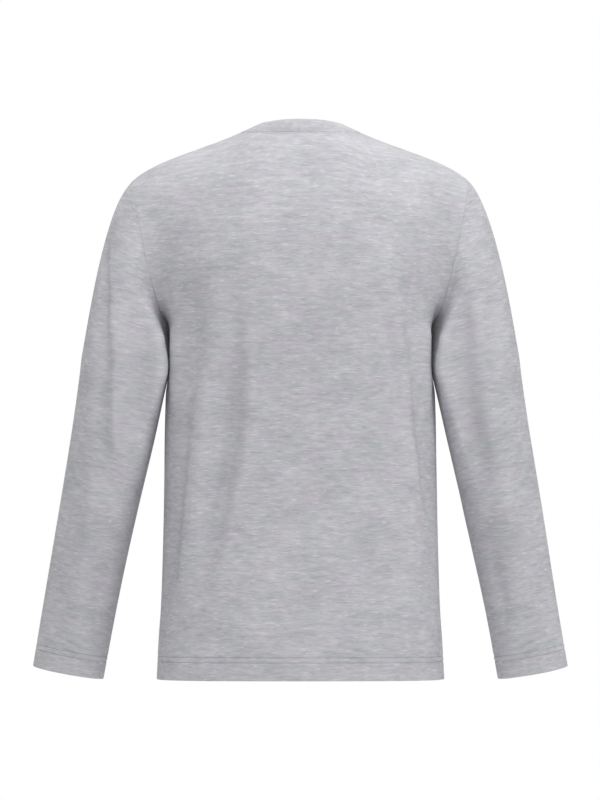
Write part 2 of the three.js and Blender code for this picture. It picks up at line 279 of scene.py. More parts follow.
def arm_ring(around, z):
    """The ring of the sleeve round the arm at a height. Both may be arrays that spread over each other."""
    axis = arm_axis(z)
    outward = unit(-np.cross(vec(0, 1, 0), axis))
    backward = np.cross(outward, axis)
    turn = math.pi * (1 - around)
    c, s = np.cos(turn), np.sin(turn)
    inner = climb(-c, 0, 0.6) * (0.4 + 0.6 * climb(s, -1, 1))
    fullness = read(ARM, "fullness", z) + read(ARM, "inner_fullness", z) * inner
    wide = (read(ARM, "half_width", z) * c * (1 + fullness * s * s))[..., None]
    deep = (read(ARM, "half_depth", z) * s * (1 + fullness * c * c))[..., None]
    return arm_middle(z) + outward * wide + backward * deep


def sleeve_form(around, down):
    """The left sleeve: down runs from 0 at the armhole over 1 at the biceps to 2 at the cuff. around is a
    row of numbers and down a column of them."""
    arm = arm_ring(around, BICEPS_Z + np.clip(down - 1, 0, 1.2) * (CUFF_Z - BICEPS_Z))
    start = armhole(around)
    biceps = np.full((1, 1), BICEPS_Z)
    end = arm_ring(around, biceps)
    length = np.linalg.norm(start - end, axis=-1)[..., None]
    lift = climb(start[..., 2], UNDERARM_Z, SHOULDER_POINT[2])[..., None]
    out = unit(vec(*CAP_LEAVES_UNDERARM) * (1 - lift) + vec(*CAP_LEAVES_SHOULDER) * lift)
    into = arm_axis(biceps) * length * CAP_END
    cap = sweep(start, end, out * length * CAP_START, into, np.clip(down, -0.1, 1))
    return np.where((down > 1)[..., None], arm, cap)


def band_form(around, up):
    """The neckband: around runs from 0 at the middle of the back over the left side to 4."""
    around = np.mod(around, 4)
    places = []
    for side in (BACK, FRONT):
        across = np.where(around <= 1, around, np.where(around <= 3, 2 - around, around - 4))
        share = np.abs(across)
        base, top = neck_curve(NECK, side, share), neck_curve(BAND_TOP, side, share)
        outward = unit((base - vec(0, NECK["side_y"], 0)) * vec(1, 1, 0))
        place = base + (top - base) * up[..., None]
        place = place + outward * (BAND_BULGE * np.sin(math.pi * np.clip(up, 0, 1)))[..., None]
        place[..., 0] *= np.where(across < 0, -1, 1)
        places.append(place)
    at_back = (around <= 1) | (around > 3)
    return np.where(at_back[..., None], places[0], places[1])


# ------------------------------------------------ the shirt's creases, pressed in as listed

# Each crease runs through points given as (x, z). A negative depth is a ridge. sharp is how much steeper
# its right-hand flank is, as seen from outside, and is negative where the left-hand one is steeper. fade
# is the share of its length over which each end runs out.
BACK_CREASES = [
    {
        "path": [(92, -180), (88, -281), (88, -350), (94, -410), (106, -480), (122, -550), (142, -640)],
        "width": 21,
        "depth": 18,
        "sharp": 0.55,
    },
    {
        "path": [
            (139, -155),
            (143, -229),
            (145, -281),
            (153, -333),
            (160, -400),
            (165, -470),
            (172, -560),
            (176, -640),
        ],
        "width": 25,
        "depth": 15,
        "sharp": 0.15,
        "fade": 0.16,
    },
    {
        "path": [(-97, -180), (-104, -229), (-119, -290), (-126, -360), (-130, -450)],
        "width": 10,
        "depth": 4,
    },
    {
        "path": [(-145, -155), (-148, -229), (-152, -281), (-158, -360), (-166, -440), (-171, -520)],
        "width": 21,
        "depth": 12,
        "sharp": -0.25,
        "fade": 0.2,
    },
    {"path": [(-126, -570), (-150, -630), (-164, -700)], "width": 18, "depth": -5},
    {"path": [(164, -236), (166, -290), (170, -375)], "width": 11, "depth": -6},
    {"path": [(-164, -236), (-166, -290), (-170, -375)], "width": 11, "depth": -6},
]
FRONT_CREASES = [
    {
        "path": [(-80, -210), (-84, -300), (-96, -430), (-112, -520), (-128, -640)],
        "width": 22,
        "depth": 14,
        "sharp": -0.5,
    },
    {
        "path": [(140, -160), (150, -270), (158, -380), (168, -500)],
        "width": 26,
        "depth": 15,
        "sharp": -0.4,
    },
    {
        "path": [(-138, -160), (-148, -250), (-158, -370), (-168, -520)],
        "width": 27,
        "depth": 15,
        "sharp": 0.4,
    },
    {"path": [(44, -400), (54, -520), (72, -660)], "width": 20, "depth": 7, "sharp": 0.3},
]
LEFT_SLEEVE_CREASES = {
    BACK: [
        {
            "path": [(248, -110), (255, -177), (257, -229), (254, -290), (254, -385), (248, -440)],
            "width": 10,
            "depth": 11,
            "sharp": 0.3,
        },
        {
            "path": [(232, -120), (239, -229), (238, -300), (239, -385), (246, -470)],
            "width": 14,
            "depth": -6,
        },
        {
            "path": [(236, -150), (234, -230), (232, -310), (224, -370), (212, -430)],
            "width": 20,
            "depth": 12,
            "sharp": -0.5,
        },
        {"path": [(184, -236), (181, -290), (190, -365)], "width": 11, "depth": -5},
        {
            "path": [(262, -410), (270, -470), (277, -541), (289, -600), (299, -660)],
            "width": 15,
            "depth": -4,
        },
        {"path": [(244, -500), (258, -570), (268, -640)], "width": 12, "depth": 2.5},
    ],
    FRONT: [
        {"path": [(245, -150), (250, -260), (247, -380)], "width": 12, "depth": 8},
        {"path": [(205, -270), (222, -350), (242, -470)], "width": 13, "depth": 7},
        {"path": [(262, -430), (278, -540), (288, -640)], "width": 14, "depth": -3},
    ],
}
RIGHT_SLEEVE_CREASES = {
    BACK: [
        {"path": [(-255, -150), (-248, -250), (-246, -340)], "width": 13, "depth": 5},
        {
            "path": [(-208, -170), (-206, -250), (-210, -330), (-222, -400), (-236, -470)],
            "width": 24,
            "depth": 10,
            "sharp": -0.5,
        },
        {"path": [(-184, -236), (-181, -290), (-190, -365)], "width": 11, "depth": -5},
        {"path": [(-243, -330), (-262, -450), (-280, -560)], "width": 16, "depth": -3},
        {"path": [(-238, -490), (-256, -580), (-270, -650)], "width": 12, "depth": 3},
    ],
    FRONT: [
        {"path": [(-250, -145), (-254, -260), (-250, -400)], "width": 12, "depth": 8},
        {"path": [(-204, -265), (-220, -340), (-238, -450)], "width": 13, "depth": 7},
        {"path": [(-258, -440), (-276, -560), (-286, -640)], "width": 14, "depth": -3},
    ],
}


def smooth_path(points, count):
    """A number of points spread along a smooth curve through the given ones."""
    points = np.asarray(points, float)
    padded = np.vstack([2 * points[0] - points[1], points, 2 * points[-1] - points[-2]])
    t = np.linspace(0, len(points) - 1 - 1e-9, count)
    i = t.astype(int)
    t = (t - i)[:, None]
    p0, p1, p2, p3 = (padded[i + k] for k in range(4))
    square = (2 * p0 - 5 * p1 + 4 * p2 - p3) * t**2
    cube = (3 * p1 - p0 - 3 * p2 + p3) * t**3
    return 0.5 * (2 * p1 + (p2 - p0) * t + square + cube)


def crease_depth(flat, path, width, depth, sharp=0.0, fade=0.3):
    """How far a crease is pressed in at each place of the flat cloth. path is in the flat cloth too."""
    best = np.full(flat.shape[:-1], 1e9)
    flank = np.zeros_like(best)
    along = np.zeros_like(best)
    steps = len(path) - 1
    for k in range(steps):
        a, b = path[k], path[k + 1]
        run = b - a
        length = max(float(np.linalg.norm(run)), 1e-6)
        offset = flat - a
        t = np.clip((offset @ run) / length**2, 0, 1)
        miss = offset - t[..., None] * run
        distance = np.linalg.norm(miss, axis=-1)
        nearer = distance < best
        best = np.where(nearer, distance, best)
        flank = np.where(nearer, (run[0] * offset[..., 1] - run[1] * offset[..., 0]) / length, flank)
        along = np.where(nearer, (k + t) / steps, along)
    ends = climb(along, 0, fade) * climb(1 - along, 0, fade)
    spread = width * (1 - sharp * np.tanh(flank / width))
    return depth * ends * np.exp(-((best / spread) ** 2))


RIPPLE_WAVES = 9
RIPPLE_TALL = 2.2  # how much taller the swell is than it is wide


def ripples(flat, seed, height, size):
    """A low, uneven swell over the whole cloth."""
    chance = np.random.default_rng(seed)
    total = 0
    for _ in range(RIPPLE_WAVES):
        angle = chance.normal(0, 0.5)
        wave = 2 * math.pi / (size * chance.uniform(0.7, 1.8))
        phase = flat[..., 0] * math.cos(angle) * wave
        phase = phase + flat[..., 1] * math.sin(angle) * wave / RIPPLE_TALL
        total = total + np.sin(phase + chance.uniform(0, 2 * math.pi))
    return height * total / 3


# ------------------------------------------------ sheets of cloth

SEAM_TURN = 0.8  # radius of the cloth where a seam allowance turns in
NECK_TURN = 0.55  # the same at the neckline and the shoulders, where the seams are pressed flat
SEAM_AIR = 0.12  # between the two allowances of a seam
ALLOWANCE = 6.0
HEM_TURN = 1.1  # radius of the cloth where a hem turns up
HEM_INSIDE_ROWS = 12  # of the grid, on the turned layer of a hem
HEM_FOLD_ROWS = 7
HIDDEN_ROWS = HEM_INSIDE_ROWS + HEM_FOLD_ROWS
NEEDLE_LINES = (23.5, 30.0)  # above a hem's edge
NEEDLE_BITE = 0.8  # how far the stitches pull the cloth in
NECK_STITCHES = 2.5  # from the neckline seam
NECK_BITE = 0.65


def turned_in(radius=SEAM_TURN):
    """(overhang, inset) along an edge turned in as a seam allowance, from its bend to its raw edge."""
    angles = np.linspace(0, math.pi / 2, 5)
    bend = [(radius * math.sin(a), radius * (1 - math.cos(a))) for a in angles]
    flat = [(radius, radius + ALLOWANCE * t) for t in (0.33, 0.66, 1.0)]
    back = radius + SEAM_AIR / 2
    return [(over - back, inset) for over, inset in bend + flat]


def hem_rows(length):
    """Rows of a turned hem as (share of the length from the edge, overhang, inset), from the raw edge,
    which is inside, round the fold to the outside."""
    raw_edge = HEM + 2
    inside = [(h / length, 0, 2 * HEM_TURN) for h in np.linspace(raw_edge, HEM_TURN, HEM_INSIDE_ROWS)]
    angles = np.linspace(math.pi, 0, HEM_FOLD_ROWS + 2)[1:-1]
    fold = [(HEM_TURN / length, HEM_TURN * math.sin(a), HEM_TURN * (1 - math.cos(a))) for a in angles]
    heights = [HEM_TURN, 3, 7, 12, 17, 21]
    for line in NEEDLE_LINES:
        heights += [line - 1.6, line - 0.8, line - 0.35, line + 0.35, line + 0.8, line + 1.6]
    return inside + fold + [(h / length, 0, 0) for h in sorted(heights)]


def needle_pull(height):
    """How far the twin rows of stitches pull the cloth in at a height above a hem's edge."""
    pull = 0
    for line in NEEDLE_LINES:
        pull = pull + NEEDLE_BITE * np.exp(-(((height - line) / 0.9) ** 2))
    middle = sum(NEEDLE_LINES) / 2
    return pull - 0.25 * np.exp(-(((height - middle) / 2.2) ** 2))


def neck_pull(below, across):
    """How far the row of stitches under the neckband pulls a panel in."""
    by_neck = climb(NECK_SHARE - np.abs(across), -0.01, 0.02)
    return NECK_BITE * np.exp(-(((below - NECK_STITCHES) / 0.8) ** 2)) * by_neck


def needle_rows(places, heights, outside, normal, margin):
    """The twin rows of stitches on a hem: where they run, and which way is outwards there. margin is how
    many columns of the grid are left out at each end."""
    found = []
    for line in NEEDLE_LINES:
        nearest = np.argsort(np.where(outside, np.abs(heights - line), 1e9))[:2]
        path = places[nearest, margin:-margin].mean(axis=0)
        found.append((path, normal[nearest[0], margin:-margin]))
    return found


def flat_cut(places, normal, edge_row, up, rounds=400):
    """Where each point of a sheet lies in the flat cloth. Its wales run along up, and its courses across,
    as nearly as the form lets them: the nearest fit to both is found by conjugate gradients."""
    wale = unit(up - normal * (normal * up).sum(-1, keepdims=True))
    course = unit(np.cross(wale, normal))

    def wanted(axis):
        step = np.diff(places, axis=axis)
        after, before = (slice(1, None), slice(None, -1)) if axis == 0 else (np.s_[:, 1:], np.s_[:, :-1])
        runs = [(step * (way[after] + way[before]) / 2).sum(-1) for way in (course, wale)]
        return np.stack(runs, -1), 1 / np.maximum(np.linalg.norm(step, axis=-1), 0.3)[..., None]

    def gather(down, across):
        total = np.zeros(places.shape[:2] + (2,))
        total[1:] += down
        total[:-1] -= down
        total[:, 1:] += across
        total[:, :-1] -= across
        return total

    (down, down_weight), (across, across_weight) = wanted(0), wanted(1)
    middle = places.shape[1] // 2
    spine = np.concatenate([np.zeros((1, 2)), np.cumsum(down[:, middle], axis=0)])
    ribs = np.concatenate([np.zeros((len(places), 1, 2)), np.cumsum(across, axis=1)], axis=1)
    flat = spine[:, None] + ribs - ribs[:, [middle]]
    down_miss = down - np.diff(flat, axis=0)
    across_miss = across - np.diff(flat, axis=1)
    miss = gather(down_miss * down_weight, across_miss * across_weight)
    way = miss
    size = (miss**2).sum((0, 1))
    for _ in range(rounds):
        pull = gather(np.diff(way, axis=0) * down_weight, np.diff(way, axis=1) * across_weight)
        step = size / np.maximum((way * pull).sum((0, 1)), 1e-12)
        flat = flat + step * way
        miss = miss - step * pull
        old, size = size, (miss**2).sum((0, 1))
        way = miss + way * size / np.maximum(old, 1e-12)
    return flat - flat[edge_row, middle]


def crease_all(places, flat, creases, seen):
    """The sum of a list of creases over a sheet. seen marks the points that the list's view can see."""
    total = np.zeros(places.shape[:-1])
    for crease in creases:
        path = []
        for x, z in smooth_path(crease["path"], 14):
            miss = (places[..., 0] - x) ** 2 + (places[..., 2] - z) ** 2 + np.where(seen, 0, 1e9)
            path.append(flat[np.unravel_index(np.argmin(miss), miss.shape)])
        path = smooth_path(path, 36)
        settings = {name: value for name, value in crease.items() if name != "path"}
        total += crease_depth(flat, path, **settings)
    return total


def put_in_scene(piece):
    bpy.context.scene.collection.objects.link(piece)
    return piece


def ease(places, amount, rounds=60):
    """Evens out a sheet, by an amount from 0 to 1 at each point."""
    amount = 0.8 * amount[1:-1, 1:-1, None]
    for _ in range(rounds):
        around = places[:-2, 1:-1] + places[2:, 1:-1] + places[1:-1, :-2] + places[1:-1, 2:]
        places[1:-1, 1:-1] += amount * (around / 4 - places[1:-1, 1:-1])
    return places


def grid_piece(name, places, flat, close_ring=False, flip=False):
    """A sheet's mesh: a grid whose points are moved to their places, with the flat cut as its UV map."""
    rows, columns = places.shape[:2]
    cloth = bmesh.new()
    uv = cloth.loops.layers.uv.new("cut")
    bmesh.ops.create_grid(cloth, x_segments=columns - 1, y_segments=rows - 1, size=1, calc_uvs=True)
    for vert in cloth.verts:
        column = round((vert.co.x + 1) / 2 * (columns - 1))
        row = round((vert.co.y + 1) / 2 * (rows - 1))
        vert.co = places[row, column] * MM
        for loop in vert.link_loops:
            loop[uv].uv = flat[row, column] * MM
    if close_ring:
        bmesh.ops.remove_doubles(cloth, verts=cloth.verts, dist=1e-6)
    if flip:
        bmesh.ops.reverse_faces(cloth, faces=cloth.faces)
    for face in cloth.faces:
        face.smooth = True
    mesh = bpy.data.meshes.new(name)
    cloth.to_mesh(mesh)
    cloth.free()
    return put_in_scene(bpy.data.objects.new(name, mesh))


def thicken(piece, thickness):
    """Gives a sheet its wall, on the inside of the surface that it has."""
    wall = piece.modifiers.new("cloth thickness", "SOLIDIFY")
    wall.thickness = thickness * MM
    wall.offset = -1
    wall.use_rim = True
    return piece


def spaced(start, end, step):
    """Even steps of about the given size from start to end, both included."""
    return list(np.linspace(start, end, max(2, round(abs(end - start) / step) + 1)))


# A panel's grid, as shares of its half width, and of its length below and above the underarm.
PANEL_STEP = 0.0125  # about 3.3 mm of cloth
PANEL_MARGIN = 0.014  # between the seam's bend and the first column
ROW_STEP = 0.0072  # 3.3 mm
YOKE_STEP = 0.0118
YOKE_END = 0.028  # below the top edge, where the finer rows take over
TOP_ROWS = (0.0225, 0.003, 0.0032)  # first, last and step, below the neckline, where the stitches bite

# A sleeve's grid, as shares of half its girth, of its cap's length and of its length below the biceps.
SLEEVE_STEP = 0.0165
SLEEVE_MARGIN = 0.022
CAP_STEP = 0.019
SLEEVE_ROW_STEP = 0.008
SLEEVE_SLANT = 1.02  # how much longer the sleeve is than it is high


def panel_piece(name, side, creases, seed):
    """The back or the front. Each row and column of its grid is given as its place on the form, its
    overhang past the edge there and its inset from the surface."""
    form = panel_form(side)
    edge = turned_in()
    top_edges = turned_in(radius=NECK_TURN)
    inner = [(a, 0, 0) for a in spaced(-1 + PANEL_MARGIN, 1 - PANEL_MARGIN, PANEL_STEP)]
    columns = [(-1, -b, i) for b, i in reversed(edge)] + inner + [(1, b, i) for b, i in edge]
    hem = hem_rows(UNDERARM_Z - HEM_Z)
    rows = hem + [(u, 0, 0) for u in spaced(hem[-1][0] + ROW_STEP, 1, ROW_STEP)]
    rows += [(u, 0, 0) for u in spaced(1 + YOKE_STEP, 2 - YOKE_END, YOKE_STEP)]
    first, last, step = TOP_ROWS
    rows += [(u, 0, 0) for u in spaced(2 - first, 2 - last, step)]
    rows += [(2, b, i) for b, i in top_edges]
    across, up = np.meshgrid([c[0] for c in columns], [r[0] for r in rows])
    over_a, over_u = np.meshgrid([c[1] for c in columns], [r[1] for r in rows])
    in_a, in_u = np.meshgrid([c[2] for c in columns], [r[2] for r in rows])

    # The form's corners at the underarm and beside the neck are evened out.
    at_underarm = climb(up, 0.86, 0.98) * climb(1.3 - up, 0, 0.2) * climb(across**2, 1, 0.9)
    off_corner = np.abs(np.abs(across) - NECK_SHARE)
    at_neck_point = climb(up, 1.4, 1.8) * climb(1.99 - up, 0, 0.02) * climb(0.3 - off_corner, 0, 0.2)
    places = ease(form(across, up), np.maximum(at_underarm, at_neck_point))
    normal, along_a, along_u = normals_of(
        form, np.clip(across, -0.998, 0.998), np.clip(up, 0.002, 1.998), -side
    )

    # Over the shoulders the wales lean towards the seam.
    lean = -0.6 * side * climb(up, 1.5, 1.95)
    flat = flat_cut(places, normal, HIDDEN_ROWS, np.stack([0 * lean, lean, 0 * lean + 1], -1))

    depth = press(places) + crease_all(places, flat, creases, np.ones(places.shape[:2], bool))
    edge_fade = climb(1 - np.abs(across), 0, 0.08) * climb(2 - up, 0, 0.12)
    depth += ripples(flat, seed, 0.7, 95) * edge_fade
    height = up * (UNDERARM_Z - HEM_Z)
    is_outside = (np.arange(len(rows)) >= HIDDEN_ROWS)[:, None]
    depth += np.where(is_outside & (up < 1), needle_pull(height), 0)
    top_row = len(rows) - len(edge)
    depth += neck_pull(np.linalg.norm(places - places[top_row], axis=-1), across) * (up > 1.5)
    by_neck = np.abs(across[top_row]) < NECK_SHARE
    neck_stitches = (places - along_u * NECK_STITCHES - normal * 0.6)[top_row, by_neck]

    # Seam allowances turn straight in: sideways at the side seams, towards the middle of the armholes,
    # down at the shoulders, and down and in round the neck.
    hand = np.where(across < 0, -1, 1)[..., None]
    to_side = vec(-1, 0, 0) * hand
    mirror = np.concatenate([hand, 1 + 0 * hand, 1 + 0 * hand], -1)
    to_armhole = unit(vec(*ARMHOLE_MIDDLE) * mirror - places)
    above = climb(up, 0.985, 1.03)[..., None]
    turn_a = unit(to_side * (1 - above) + to_armhole * above)
    to_neck = unit((vec(0, NECK["side_y"], 0) - places) * vec(1, 1, 0)) * 0.8 - vec(0, 0, 0.6)
    by_seam = climb(np.abs(across), NECK_SHARE * 0.93, NECK_SHARE * 1.07)[..., None]
    turn_u = unit(to_neck * (1 - by_seam) + vec(0, 0, -1) * by_seam)
    is_hem = (np.array([r[0] for r in rows]) < 0.5)[:, None, None]
    in_a = np.where(is_outside, in_a, np.minimum(in_a, SEAM_TURN))
    places = places - normal * depth[..., None] + along_a * over_a[..., None]
    places += np.where(is_hem, -1, 1) * along_u * over_u[..., None]
    inset_u = np.where(is_hem, -normal, turn_u) * in_u[..., None]
    places += np.where(is_hem, inset_u + turn_a * in_a[..., None], 0)
    places += np.where(is_hem, 0, np.where((in_u > in_a)[..., None], inset_u, turn_a * in_a[..., None]))
    piece = grid_piece(name, places, flat, flip=side == BACK)
    stitches = needle_rows(places, height[:, 0], is_outside[:, 0], normal, len(edge))
    stitches.append((neck_stitches, normal[top_row, by_neck]))
    return thicken(piece, JERSEY), flat, stitches


def sleeve_piece(name, hand, creases, seed):
    """A sleeve, made as the left one. hand is -1 for the right one, which is mirrored."""
    edge = turned_in()
    arm_length = (BICEPS_Z - CUFF_Z) * SLEEVE_SLANT
    inner = [(a, 0, 0) for a in spaced(SLEEVE_MARGIN, 2 - SLEEVE_MARGIN, SLEEVE_STEP)]
    columns = [(0, -b, i) for b, i in reversed(edge)] + inner + [(2, b, i) for b, i in edge]
    hem = [(2 - share, over, inset) for share, over, inset in hem_rows(arm_length)]
    rows = [(0, b, i) for b, i in reversed(edge)]
    rows += [(d, 0, 0) for d in spaced(0.012, 1, CAP_STEP)]
    lowest = hem[-1][0] - SLEEVE_ROW_STEP
    rows += [(d, 0, 0) for d in spaced(1 + SLEEVE_ROW_STEP, lowest, SLEEVE_ROW_STEP)]
    rows += hem[::-1]
    around = np.array([[c[0] for c in columns]])
    down = np.array([[r[0]] for r in rows])
    over_a, over_d = np.meshgrid([c[1] for c in columns], [r[1] for r in rows])
    in_a, in_d = np.meshgrid([c[2] for c in columns], [r[2] for r in rows])
    places = sleeve_form(around, down)
    normal, along_a, along_d = normals_of(
        sleeve_form, np.clip(around, 0.002, 1.998), np.clip(down, 0.002, 1.998), 1
    )
    up_the_arm = vec(-0.19, 0, 1)
    flat = flat_cut(places, normal, len(rows) - 1 - HIDDEN_ROWS, up_the_arm)

    depth = np.zeros(places.shape[:2])
    for face, listed in creases.items():
        seen = (around <= 1 if face == BACK else around >= 1) & (down > -1)
        depth += crease_all(places * vec(hand, 1, 1), flat, listed, seen) * climb(down, 0, 0.15)
    depth += ripples(flat, seed, 0.6, 80) * climb(down, 0, 0.2)
    height = (2 - down) * arm_length
    is_outside = (np.arange(len(rows)) < len(rows) - HIDDEN_ROWS)[:, None]
    depth += np.where(is_outside & (down > 1.5), needle_pull(height), 0)

    to_middle = unit(arm_middle(np.clip(places[..., 2], CUFF_Z, -200)) - places)
    to_armhole = unit(vec(*ARMHOLE_MIDDLE) - places)
    near_top = climb(down, 0, 0.08)[..., None]
    turn_a = unit(to_middle * near_top + to_armhole * (1 - near_top))
    is_hem = (np.array([r[0] for r in rows]) > 1.5)[:, None, None]
    in_a = np.where(is_outside, in_a, np.minimum(in_a, SEAM_TURN))
    places = places - normal * depth[..., None] + along_a * over_a[..., None]
    places += np.where(is_hem, 1, -1) * along_d * over_d[..., None]
    inset_d = np.where(is_hem, -normal, to_armhole) * in_d[..., None]
    places += np.where(is_hem, inset_d + turn_a * in_a[..., None], 0)
    places += np.where(is_hem, 0, np.where((in_d > in_a)[..., None], inset_d, turn_a * in_a[..., None]))
    places = places * vec(hand, 1, 1)
    normal = normal * vec(hand, 1, 1)
    piece = grid_piece(name, places, flat, flip=hand < 0)
    stitches = needle_rows(places, height[:, 0], is_outside[:, 0], normal, len(edge))
    return thicken(piece, JERSEY), flat, stitches


def band_piece(name):
    """One strip of rib, folded over at its top edge and sewn to a ring."""
    edge = turned_in(radius=NECK_TURN)
    rise = 19.5  # the band's height
    turn = RIB + 0.1  # radius of its fold
    outside = [(t, 0, 0) for t in np.linspace(0.07, 1 - turn / rise, 12)]
    angles = np.linspace(0, math.pi, 9)[1:-1]
    fold = [(1 - turn / rise, turn * math.sin(a), turn * (1 - math.cos(a))) for a in angles]
    inside = [(t, 0, 2 * turn) for t in np.linspace(1 - turn / rise, -0.25, 12)]
    rows = [(0, -b, i) for b, i in reversed(edge)] + outside + fold + inside
    around, up = np.meshgrid(np.linspace(0, 4, 361), [r[0] for r in rows])
    over = np.array([r[1] for r in rows])[:, None]
    inset = np.array([r[2] for r in rows])[:, None]
    places = band_form(around, up)
    normal, _, along_u = normals_of(band_form, around, np.clip(up, 0.002, 0.998), -1)
    seam = places[len(edge)]
    along_band = np.linalg.norm(np.diff(seam, axis=0, prepend=seam[:1]), axis=-1)
    across_band = np.linalg.norm(np.diff(places[:, 0], axis=0, prepend=places[:1, 0]), axis=-1)
    flat = np.stack(np.meshgrid(np.cumsum(along_band), np.cumsum(across_band)), -1)
    is_bottom = (np.arange(len(rows)) < len(edge))[:, None, None]
    to_neck = unit(unit((vec(0, NECK["side_y"], 0) - places) * vec(1, 1, 0)) * 0.8 - vec(0, 0, 0.6))
    places = places + along_u * over[..., None]
    places += np.where(is_bottom, to_neck, -normal) * inset[..., None]
    places[:, -1] = places[:, 0]
    piece = grid_piece(name, places, flat, close_ring=True, flip=True)
    return thicken(piece, RIB), flat, []


# ------------------------------------------------ finishes


def colour(hex_code):
    """An sRGB hex colour as linear RGBA."""
    parts = [int(hex_code[i : i + 2], 16) / 255 for i in (0, 2, 4)]
    return [p / 12.92 if p <= 0.04045 else ((p + 0.055) / 1.055) ** 2.4 for p in parts] + [1.0]


def add_node(tree, kind, inputs=None, **settings):
    """Adds a node. Each of its inputs is joined to another node's socket or set to a constant value."""
    node = tree.nodes.new(kind)
    for name, value in settings.items():
        setattr(node, name, value)
    for key, value in (inputs or {}).items():
        if isinstance(value, bpy.types.NodeSocket):
            tree.links.new(value, node.inputs[key])
        else:
            node.inputs[key].default_value = value
    return node


def math_node(tree, operation, *values):
    node = add_node(tree, "ShaderNodeMath", dict(enumerate(values)), operation=operation)
    return node.outputs["Value"]


def cloth_noise(tree, cut, long, tall, shift, detail=1.0, distortion=0.0):
    """Noise in the flat cloth, from 0 to 1, whose marks are long by tall, in millimetres."""
    stretched = {"Location": (shift, shift / 3, shift), "Scale": (1000 / long, 1000 / tall, 1)}
    place = add_node(tree, "ShaderNodeMapping", {"Vector": cut, **stretched}).outputs["Vector"]
    settings = {"Scale": 1.0, "Detail": detail, "Roughness": 0.5, "Distortion": distortion}
    return add_node(tree, "ShaderNodeTexNoise", {"Vector": place, **settings}).outputs["Fac"]


PALE_SHARE = 0.45  # of the yarn, which is white fibres

# Wales and courses of the knit, as far apart as they're drawn.
WALE = 1.4
RIB_WALE = 1.9
COURSE = 1.1


def heather_cloth(name, ribbed):
    """Single jersey or rib, knitted of one heather yarn, with its pattern in the flat cut's UV map."""
    made = bpy.data.materials.new(name)
    made.use_nodes = True
    tree = made.node_tree
    shader = tree.nodes["Principled BSDF"]
    cut = add_node(tree, "ShaderNodeUVMap", uv_map="cut").outputs["UV"]

    # The yarn is spun of white and dark fibres, which lie together in short streaks along the courses.
    # Real streaks are one course high, about 0.6 mm: they're drawn at about three times that, to show.
    streaks = cloth_noise(tree, cut, long=11.0, tall=1.9, shift=3.0, detail=1.5, distortion=0.1)
    slubs = cloth_noise(tree, cut, long=24.0, tall=5.5, shift=7.0, distortion=0.3)
    clouds = cloth_noise(tree, cut, long=60.0, tall=38.0, shift=11.0)
    mix = PALE_SHARE
    for marks, contrast in ((streaks, 0.6), (slubs, 0.6), (clouds, 0.45)):
        centred = math_node(tree, "ADD", mix, -contrast / 2)
        mix = math_node(tree, "MULTIPLY_ADD", marks, contrast, centred)

    # Here and there a pale or a dark fibre bundle shows on the face, as a dash of about the same height.
    pale = cloth_noise(tree, cut, long=13.0, tall=1.6, shift=19.0, distortion=0.15)
    pale = add_node(tree, "ShaderNodeMapRange", {"Value": pale, "From Min": 0.62, "From Max": 0.7})
    dark = cloth_noise(tree, cut, long=10.0, tall=1.6, shift=29.0, distortion=0.15)
    dark = add_node(tree, "ShaderNodeMapRange", {"Value": dark, "From Min": 0.62, "From Max": 0.74})
    mix = math_node(tree, "MULTIPLY_ADD", pale.outputs["Result"], 0.36, mix)
    mix = math_node(tree, "MULTIPLY_ADD", dark.outputs["Result"], -0.26, mix)

    # The dark fibres are a faint violet grey in some yarns and a faint blue grey in others.
    tint = cloth_noise(tree, cut, long=34.0, tall=17.0, shift=41.0)
    tint = add_node(tree, "ShaderNodeMapRange", {"Value": tint, "From Min": 0.36, "From Max": 0.64})
    fibres = add_node(
        tree,
        "ShaderNodeMix",
        {0: tint.outputs["Result"], 6: colour("aaa7b0"), 7: colour("a2a8ab")},
        data_type="RGBA",
    )
    yarn = add_node(
        tree,
        "ShaderNodeMix",
        {0: mix, 6: fibres.outputs[2], 7: colour("e2e0e4")},
        data_type="RGBA",
    )
    tree.links.new(yarn.outputs[2], shader.inputs["Base Color"])

    # Each stitch of the knit is a V. Real wales are 0.7 mm apart: they're drawn at twice that, to show.
    split = add_node(tree, "ShaderNodeSeparateXYZ", {"Vector": cut})
    wale = math_node(tree, "MULTIPLY", split.outputs["X"], 1000 / (RIB_WALE if ribbed else WALE))
    leg = math_node(tree, "ABSOLUTE", math_node(tree, "SUBTRACT", math_node(tree, "FRACT", wale), 0.5))
    course = math_node(tree, "MULTIPLY_ADD", split.outputs["Y"], 1000 / COURSE, leg)
    knit = math_node(tree, "SINE", math_node(tree, "MULTIPLY", course, 2 * math.pi))
    groove = math_node(tree, "MULTIPLY", leg, -3.0 if ribbed else -1.5)
    relief = math_node(tree, "MULTIPLY_ADD", knit, 0.35, groove)
    relief = math_node(tree, "MULTIPLY_ADD", streaks, 2.0, relief)
    bump = add_node(tree, "ShaderNodeBump", {"Strength": 0.5, "Distance": 0.00012, "Height": relief})
    tree.links.new(bump.outputs["Normal"], shader.inputs["Normal"])

    # Carded cotton is matt. Its fuzz catches a little light where the cloth turns away.
    shader.inputs["Roughness"].default_value = 0.93
    shader.inputs["Specular IOR Level"].default_value = 0.15
    shader.inputs["Sheen Weight"].default_value = 0.08
    shader.inputs["Sheen Roughness"].default_value = 0.6
    return made


